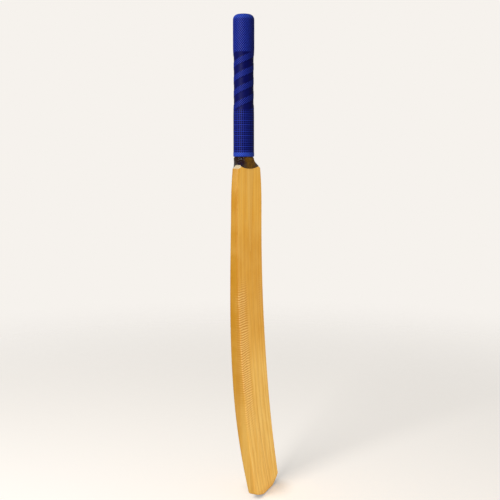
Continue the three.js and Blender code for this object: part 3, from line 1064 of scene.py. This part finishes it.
def ripple_place(tree, parts):
    """1 where the plane has left ripples on the face."""
    start = soft_step(tree, parts["Z"], *RIPPLES_START)
    end = soft_step(tree, parts["Z"], *RIPPLES_END, 1.0, 0.0)
    near = times(tree, times(tree, start, end), soft_step(tree, parts["X"], *NEAR_RIPPLES, 1.0, 0.0))
    far_height = times(tree, soft_step(tree, parts["Z"], *FAR_RIPPLES_START), end)
    far = times(tree, soft_step(tree, parts["X"], *FAR_RIPPLES), far_height)
    normal = add(tree, "ShaderNodeNewGeometry").outputs["Normal"]
    planed = add(tree, "ShaderNodeVectorMath", {0: normal, 1: PLANED_WAY}, operation="DOT_PRODUCT")
    on_front = soft_step(tree, planed.outputs["Value"], 0.30, 0.62)
    return times(tree, maths(tree, "MULTIPLY_ADD", far, FAR_SHARE, near), on_front)


def ripple_marks(tree, place, shake):
    """Narrow bars, 1 on a crest and 0 in a hollow, and a mask for where on the blade they are."""
    parts = add(tree, "ShaderNodeSeparateXYZ", {0: place}).outputs
    wander = maths(tree, "MULTIPLY_ADD", shake, 3 * MM, parts["Z"])
    wave = maths(tree, "SINE", times(tree, wander, 2 * math.pi / RIPPLE_PERIOD))
    bars = soft_step(tree, wave, -0.5, 0.7)
    broken = soft_step(tree, stretched_noise(tree, place, (60, 60, 30), 1.0), 0.28, 0.5, 0.35, 1.0)
    return bars, times(tree, ripple_place(tree, parts), broken)


print("ripples every", round(RIPPLE_PERIOD / MM, 2), "mm")

# %% [markdown]
# ## Colour of the willow
#
# Pressed and oiled willow is honey coloured. It is paler towards the toe, more amber in the middle, and
# golden along the outer edges. Each of these is one soft mask over a plain base, so each can be judged and
# changed without touching the others.

# %% Willow colours
PALE = linear(246, 202, 108)
HONEY = linear(232, 176, 72)
PALE_ABOVE = linear(246, 190, 78)
HONEY_ABOVE = linear(232, 168, 50)
GOLD = linear(198, 138, 16)
AMBER = linear(206, 138, 22)
TONE_CHANGE = (120 * MM, 420 * MM)
AMBER_START = (200 * MM, 330 * MM)
AMBER_END = (430 * MM, 520 * MM)
GOLD_EDGE = (50.5 * MM, 53.5 * MM)
GOLD_RISE = (40 * MM, 260 * MM)


def gold_edge(tree, parts):
    """1 at the outer edges, following the taper of the shoulders."""
    up_taper = maths(tree, "SUBTRACT", parts["Z"], BLADE_LENGTH - SHOULDER_TAPER[0])
    up_taper = maths(tree, "MAXIMUM", maths(tree, "DIVIDE", up_taper, SHOULDER_TAPER[0]), 0.0)
    taken_off = times(tree, maths(tree, "POWER", up_taper, 2.0), SHOULDER_TAPER[1])
    outward = maths(tree, "ADD", maths(tree, "ABSOLUTE", parts["X"]), taken_off)
    up_the_blade = soft_step(tree, parts["Z"], *GOLD_RISE, 0.15, 0.8)
    return times(tree, soft_step(tree, outward, *GOLD_EDGE), up_the_blade)


def willow_base(tree, parts, streaks):
    streak = soft_step(tree, streaks, 0.3, 0.72)
    toe_tone = blend(tree, streak, HONEY, PALE)
    upper_tone = blend(tree, streak, HONEY_ABOVE, PALE_ABOVE)
    colour = blend(tree, soft_step(tree, parts["Z"], *TONE_CHANGE), toe_tone, upper_tone)
    amber = times(tree, soft_step(tree, parts["Z"], *AMBER_START),
                  soft_step(tree, parts["Z"], *AMBER_END, 1.0, 0.0))
    colour = blend(tree, times(tree, amber, 0.42), colour, AMBER)
    return blend(tree, gold_edge(tree, parts), colour, GOLD)


print("honey in linear light:", [round(c, 2) for c in HONEY[:3]])
print("pale in linear light:", [round(c, 2) for c in PALE[:3]])

# %% [markdown]
# ## Lines, and painted light and shade at the ends
#
# Over the base come the growth lines and flecks, one dark line that leans across the lower face, the
# ripples with their painted light crests and dark hollows, a painted highlight on the up-facing shoulder
# slopes, and the toe, which is browner towards its end and has painted shade underneath. The order matters:
# what is laid on last covers what came first.

# %% Marks on the willow
LINE = linear(190, 116, 22)
FLECK = linear(130, 78, 18)
RIPPLE_HIGHLIGHT = linear(250, 206, 122)
SHOULDER_HIGHLIGHT_CREAM = linear(250, 236, 200)
TOE_UNDERSIDE_SHADE = linear(70, 34, 8)
DARK_LINE_LEAN = 0.075
DARK_LINE_AT = 6 * MM
DARK_LINE_WIDTH = (0.4 * MM, 1.6 * MM)
DARK_LINE_END = (100 * MM, 170 * MM)
SHOULDER_BAND = (583 * MM, 588 * MM)
TOE_BAND = (2 * MM, 16 * MM)


def dark_line(tree, parts):
    place = maths(tree, "SUBTRACT", parts["X"], DARK_LINE_AT)
    from_line = maths(tree, "ABSOLUTE", maths(tree, "MULTIPLY_ADD", parts["Z"], DARK_LINE_LEAN, place))
    line = soft_step(tree, from_line, *DARK_LINE_WIDTH, 1.0, 0.0)
    return times(tree, line, soft_step(tree, parts["Z"], *DARK_LINE_END, 0.6, 0.0))


def with_lines(tree, colour, grain, cloud):
    colour = blend(tree, times(tree, cloud, 0.22), colour, PALE)
    colour = blend(tree, times(tree, grain["Lines"], 0.22), colour, LINE)
    colour = blend(tree, times(tree, grain["Fibre"], 0.16), colour, LINE, "MULTIPLY")
    return blend(tree, times(tree, grain["Flecks"], 0.25), colour, FLECK)


def with_ends(tree, colour, parts):
    up = upward(tree)
    # Painted highlight on the up-facing slopes of the shoulders.
    shoulder_highlight_mask = times(tree, soft_step(tree, up, 0.25, 0.6), soft_step(tree, parts["Z"], *SHOULDER_BAND))
    colour = blend(tree, times(tree, shoulder_highlight_mask, 0.85), colour, SHOULDER_HIGHLIGHT_CREAM)
    toe = soft_step(tree, parts["Z"], *TOE_BAND, 1.0, 0.0)
    colour = blend(tree, times(tree, toe, 0.3), colour, LINE)
    # Painted shade on the down-facing underside of the toe.
    under = times(tree, soft_step(tree, up, -0.65, -0.2, 1.0, 0.0), toe)
    return blend(tree, times(tree, under, 0.9), colour, TOE_UNDERSIDE_SHADE)


print("toe marked up to", round(TOE_BAND[1] / MM), "mm")


# %% Willow
def make_willow():
    material, tree, shader, place = new_material("Oiled willow")
    grain = placed_group(tree, grain_group, {"Vector": place, "Line Spacing": 15 * MM, "Waviness": 8 * MM,
                                             "Slant": 0.45})
    marks = handling_marks(tree, place, 26.0, 1200.0)
    bars, rippled = ripple_marks(tree, place, marks["Cloud"])
    parts = add(tree, "ShaderNodeSeparateXYZ", {0: place}).outputs
    colour = willow_base(tree, parts, grain["Streaks"])
    colour = with_lines(tree, colour, grain, marks["Cloud"])
    colour = blend(tree, dark_line(tree, parts), colour, LINE)
    # Ripple bars: painted highlight on the crests and painted shade in the hollows.
    colour = blend(tree, times(tree, rippled, 0.6), colour, blend(tree, bars, LINE, RIPPLE_HIGHLIGHT))
    tree.links.new(with_ends(tree, colour, parts), shader.inputs["Base Color"])
    rough = maths(tree, "MULTIPLY_ADD", grain["Fibre"], 0.16, 0.38)
    rough = maths(tree, "MULTIPLY_ADD", marks["Cloud"], 0.10, rough)
    tree.links.new(rough, shader.inputs["Roughness"])
    relief = maths(tree, "MULTIPLY_ADD", grain["Fibre"], 0.35, times(tree, grain["Lines"], -0.12))
    relief = maths(tree, "MULTIPLY_ADD", times(tree, bars, rippled), 0.4, relief)
    tree.links.new(bumped(tree, relief, 0.35, 0.2 * MM), shader.inputs["Normal"])
    shader.inputs["Specular IOR Level"].default_value = 0.3
    return material


willow = make_willow()
print("willow nodes:", len(willow.node_tree.nodes))

# %% [markdown]
# ## Cane
#
# Cane is full of fine straight vessels. They show as dark threads along the slip and as dots on its end. The
# same grain group makes the threads, with its lines set close, and a field of cells gives the dots, only
# where the surface looks up or down.

# %% Sanded cane
CANE_DARK = linear(224, 164, 62)
CANE_LIGHT = linear(244, 192, 92)


def vessel_dots(tree, place):
    on_end = soft_step(tree, maths(tree, "ABSOLUTE", upward(tree)), 0.75, 0.95)
    flat = add(tree, "ShaderNodeVectorMath", {0: place, 1: (1.0, 1.0, 0.0)}, operation="MULTIPLY").outputs[0]
    vessels = add(tree, "ShaderNodeTexVoronoi", {"Vector": flat, "Scale": 1100.0}).outputs["Distance"]
    return times(tree, soft_step(tree, vessels, 0.22, 0.36, 1.0, 0.0), on_end)


def make_cane():
    material, tree, shader, place = new_material("Sanded cane")
    grain = placed_group(tree, grain_group, {"Vector": place, "Line Spacing": 1.7 * MM, "Waviness": 0.6 * MM,
                                             "Slant": 0.2})
    colour = blend(tree, soft_step(tree, grain["Streaks"], 0.3, 0.7), CANE_DARK, CANE_LIGHT)
    colour = blend(tree, times(tree, grain["Lines"], 0.22), colour, LINE)
    dots = vessel_dots(tree, place)
    colour = blend(tree, times(tree, dots, 0.8), colour, FLECK)
    tree.links.new(colour, shader.inputs["Base Color"])
    rough = maths(tree, "MULTIPLY_ADD", grain["Fibre"], 0.2, 0.42)
    tree.links.new(rough, shader.inputs["Roughness"])
    relief = maths(tree, "SUBTRACT", times(tree, grain["Fibre"], 0.4), dots)
    tree.links.new(bumped(tree, relief, 0.3, 0.2 * MM), shader.inputs["Normal"])
    shader.inputs["Specular IOR Level"].default_value = 0.3
    return material


cane = make_cane()
print("cane nodes:", len(cane.node_tree.nodes))

# %% [markdown]
# ## Rubber inserts
#
# The inserts are plain dark sheet rubber with a fine tooth. Only their ends could ever be seen, so a speckle
# in the colour and the bump is all they need.


# %% Insert rubber
def make_insert():
    material, tree, shader, place = new_material("Insert rubber")
    marks = handling_marks(tree, place, 90.0, 2500.0)
    colour = blend(tree, marks["Speckle"], linear(20, 19, 18), linear(52, 48, 44))
    tree.links.new(colour, shader.inputs["Base Color"])
    tree.links.new(maths(tree, "MULTIPLY_ADD", marks["Cloud"], 0.15, 0.7), shader.inputs["Roughness"])
    tree.links.new(bumped(tree, marks["Speckle"], 0.25, 0.1 * MM), shader.inputs["Normal"])
    return material


insert = make_insert()
print("insert nodes:", len(insert.node_tree.nodes))

# %% [markdown]
# ## Varnished thread
#
# The thread is nearly black with a clear gloss that comes from the coat of varnish, so the gloss is a coat in
# the shader too. It is browner and duller where the varnish has pooled, which the stored value says. Small
# lumps in the varnish break up its highlights.


# %% Neck varnish
def make_thread():
    material, tree, shader, place = new_material("Varnished thread")
    marks = handling_marks(tree, place, 140.0, 3000.0)
    pooled = stored(tree, "pooled")
    # Painted shade in the grooves between turns, lighter on the crests.
    colour = blend(tree, stored(tree, "relief"), linear(6, 3, 1), linear(46, 24, 10))
    amber = blend(tree, marks["Cloud"], linear(80, 50, 0), linear(110, 76, 2))
    tree.links.new(blend(tree, pooled, colour, amber), shader.inputs["Base Color"])
    rough = maths(tree, "MULTIPLY_ADD", marks["Speckle"], 0.2, 0.12)
    tree.links.new(maths(tree, "MULTIPLY_ADD", pooled, 0.35, rough), shader.inputs["Roughness"])
    shader.inputs["Specular IOR Level"].default_value = 0.12
    fibres = bumped(tree, stretched_noise(tree, place, (900, 900, 5000), 1.0), 0.3, 0.2 * MM)
    lumps = stretched_noise(tree, place, (420, 420, 420), 1.0)
    tree.links.new(bumped(tree, lumps, 0.7, 1.2 * MM, fibres), shader.inputs["Normal"])
    tree.links.new(maths(tree, "MULTIPLY_ADD", pooled, -0.45, 0.45), shader.inputs["Coat Weight"])
    shader.inputs["Coat Roughness"].default_value = 0.06
    return material


thread = make_thread()
print("thread nodes:", len(thread.node_tree.nodes))

# %% [markdown]
# ## Royal blue rubber
#
# Moulded rubber is painted darker in its grooves, as painted shade, and lighter on its ridges, as painted
# highlight. The stored relief drives that difference, so colour and shape can never part. The bottom collar
# and the top of the dome get a further painted highlight. A fine pimpled bump keeps the highlights soft.

# %% Grip rubber
GROOVE_SHADE_BLUE = linear(1, 1, 52)
WALL_BLUE = linear(3, 9, 98)
RIDGE_HIGHLIGHT_BLUE = linear(52, 78, 214)
DUSTY_BLUE = linear(30, 44, 140)
RIM_HIGHLIGHT_BLUE = linear(64, 104, 236)


def make_grip_rubber():
    material, tree, shader, place = new_material("Royal blue rubber")
    marks = handling_marks(tree, place, 60.0, 1800.0)
    relief = stored(tree, "relief")
    # Painted shade in the grooves and painted highlight on the ridges, from the stored relief.
    colour = blend(tree, soft_step(tree, relief, 0.0, 0.5), GROOVE_SHADE_BLUE, WALL_BLUE)
    colour = blend(tree, soft_step(tree, relief, 0.5, 1.0), colour, RIDGE_HIGHLIGHT_BLUE)
    colour = blend(tree, times(tree, marks["Cloud"], 0.08), colour, DUSTY_BLUE)
    # Painted highlight on the bottom collar and the top of the dome, stronger on the ridges.
    rim_highlight_share = times(tree, stored(tree, "collar"), maths(tree, "MULTIPLY_ADD", relief, 0.5, 0.05))
    colour = blend(tree, rim_highlight_share, colour, RIM_HIGHLIGHT_BLUE)
    tree.links.new(colour, shader.inputs["Base Color"])
    rough = maths(tree, "MULTIPLY_ADD", marks["Cloud"], 0.12, 0.42)
    tree.links.new(rough, shader.inputs["Roughness"])
    tree.links.new(bumped(tree, marks["Speckle"], 0.4, 0.3 * MM), shader.inputs["Normal"])
    shader.inputs["Specular IOR Level"].default_value = 0.12
    return material


grip_rubber = make_grip_rubber()
print("grip nodes:", len(grip_rubber.node_tree.nodes))

# %% [markdown]
# ## Put the pieces on the bat
#
# Each finished piece stands for one imported piece and rides with the bat's only body. One function does all
# of it, so no piece can be forgotten half way.


# %% Dress and attach
def dress(piece, material, node):
    piece.data.materials.clear()
    piece.data.materials.append(material)
    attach(piece, "root")
    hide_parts(node)


dress(blade, willow, "blade")
for node, piece in cane_pieces.items():
    dress(piece, cane, node)
for node, piece in strip_pieces.items():
    dress(piece, insert, node)
dress(neck, thread, "neck_binding")
dress(lower_thread, thread, "lower_binding")
dress(upper_thread, thread, "upper_binding")
dress(grip, grip_rubber, "grip")
print("pieces dressed:", 5 + len(cane_pieces) + len(strip_pieces))

# %% [markdown]
# ## The floor
#
# A pale floor fades into a pale background, like a white sheet swept up behind the bat. A floor lit to pure
# white would throw too much light up at the bat, so part of its brightness is a glow that only the eye sees.
# The glow is weaker just round the toe, a painted shadow of the bat on the floor.

# %% Floor
FLOOR_RADIUS = 3.4
FLOOR_SIDES = 96
FLOOR_FADE = (0.5, 2.0)  # distances from the bat between which the floor fades away
FLOOR_GLOW = 0.45
TOE_GLOW = 0.25
TOE_SHADE = (20 * MM, 55 * MM)
toe_middle = (12 * MM, float(blade_low[1]) + 6 * MM, 0.0)


def floor_material():
    material, tree, shader, place = new_material("Pale floor")
    shader.inputs["Base Color"].default_value = linear(242, 236, 228)
    shader.inputs["Roughness"].default_value = 0.7
    reach = add(tree, "ShaderNodeVectorMath", {0: place}, operation="LENGTH").outputs["Value"]
    clear = tree.nodes.new("ShaderNodeBsdfTransparent").outputs[0]
    looking = add(tree, "ShaderNodeLightPath").outputs["Is Camera Ray"]
    from_toe = add(tree, "ShaderNodeVectorMath", {0: place, 1: toe_middle}, operation="DISTANCE")
    # Weaker glow round the toe: a painted shadow of the bat on the floor.
    seen = times(tree, looking, soft_step(tree, from_toe.outputs["Value"], *TOE_SHADE, TOE_GLOW, FLOOR_GLOW))
    glow = add(tree, "ShaderNodeEmission", {"Color": linear(250, 247, 243), "Strength": seen}).outputs[0]
    bright = add(tree, "ShaderNodeAddShader", {0: shader.outputs[0], 1: glow}).outputs[0]
    mixed = add(tree, "ShaderNodeMixShader", {0: soft_step(tree, reach, *FLOOR_FADE), 1: bright, 2: clear})
    tree.links.new(mixed.outputs[0], tree.nodes["Material Output"].inputs["Surface"])
    return material


def make_floor():
    angle = np.linspace(0, 2 * math.pi, FLOOR_SIDES, endpoint=False)
    mesh = bpy.data.meshes.new("floor")
    points = np.column_stack([np.cos(angle), np.sin(angle), np.zeros(FLOOR_SIDES)]) * FLOOR_RADIUS
    mesh.from_pydata(points.tolist(), [], [tuple(range(FLOOR_SIDES))])
    mesh.materials.append(floor_material())
    sheet = new_piece("floor", mesh)
    return sheet


floor = make_floor()
print("floor", 2 * FLOOR_RADIUS, "m across")

# %% [markdown]
# ## Surroundings
#
# A studio's bright walls give an even light from all sides. The walls that the eye sees are brighter than
# the light they give here, so that the bat keeps its shadows and the background stays nearly white.

# %% Surroundings
BACKDROP = linear(246, 242, 237)
AMBIENT = (1.0, 0.98, 0.95, 1.0)
AMBIENT_STRENGTH = 0.25


def make_world():
    """A bright backdrop for the eye, and a softer, dimmer surround for the light it gives."""
    world = bpy.data.worlds.new("studio")
    world.use_nodes = True
    bpy.context.scene.world = world
    tree = world.node_tree
    surround = tree.nodes["Background"]
    surround.inputs["Color"].default_value = AMBIENT
    surround.inputs["Strength"].default_value = AMBIENT_STRENGTH
    seen = add(tree, "ShaderNodeBackground", {"Color": BACKDROP}).outputs[0]
    looking = add(tree, "ShaderNodeLightPath").outputs["Is Camera Ray"]
    mixed = add(tree, "ShaderNodeMixShader", {0: looking, 1: surround.outputs[0], 2: seen})
    tree.links.new(mixed.outputs[0], tree.nodes["World Output"].inputs["Surface"])
    return world


world = make_world()
print("surroundings:", world.name)

# %% [markdown]
# ## Camera
#
# The camera stands well round to the left of the face, at about the height of the shoulders. Its place is
# given by a direction and a distance from the handle's axis, which is easier to adjust than three
# coordinates, and two small angles then aim it.

# %% Camera
CAMERA_DISTANCE = 1.420
CAMERA_HEIGHT = 0.606
CAMERA_TURN = math.radians(-0.445)
CAMERA_PITCH = math.radians(-6.67)
LENS_MM = 57.56
SENSOR_MM = 36.0


def direction(azimuth, pitch):
    level = math.cos(pitch)
    return Vector((-math.sin(azimuth) * level, math.cos(azimuth) * level, math.sin(pitch)))


def make_camera():
    data = bpy.data.cameras.new("camera")
    data.lens = LENS_MM
    data.sensor_width = SENSOR_MM
    back = direction(CAMERA_AZIMUTH, 0.0) * -CAMERA_DISTANCE
    camera = new_piece("camera", data)
    camera.location = (back.x, back.y + axis_y, CAMERA_HEIGHT)
    look = direction(CAMERA_AZIMUTH + CAMERA_TURN, CAMERA_PITCH)
    camera.rotation_euler = look.to_track_quat("-Z", "Y").to_euler()
    bpy.context.scene.camera = camera
    return camera


camera = make_camera()
print("camera at", [round(c, 3) for c in camera.location])

# %% [markdown]
# ## Lights
#
# One large soft light stands to the left of the camera. A second one, low in front, brightens the face. It
# is linked to the blade, the neck and the pieces of the handle, but not to the grip, where it would wash out
# the dark blue.

# %% Lights
KEY = {"azimuth": -103, "distance": 1.7, "height": 1.5, "size": 0.9, "watts": 30, "aim": (0, 0, 0.5)}
FACE_FILL = {"azimuth": -8, "distance": 1.5, "height": 0.3, "size": 0.8, "watts": 16, "aim": (0, 0, 0.25)}


def make_light(name, azimuth, distance, height, size, watts, aim):
    data = bpy.data.lights.new(name, "AREA")
    data.shape = "DISK"
    data.size = size
    data.energy = watts
    light = new_piece(name, data)
    around = math.radians(azimuth)
    light.location = (math.sin(around) * distance, -math.cos(around) * distance, height)
    light.rotation_euler = (Vector(aim) - light.location).to_track_quat("-Z", "Y").to_euler()
    return light


make_light("key", **KEY)
fill = make_light("face_fill", **FACE_FILL)
lit_by_fill = bpy.data.collections.new("lit_by_face_fill")
for piece in [blade, neck, *cane_pieces.values(), *strip_pieces.values()]:
    lit_by_fill.objects.link(piece)
fill.light_linking.receiver_collection = lit_by_fill
bpy.context.scene.view_settings.view_transform = "Standard"
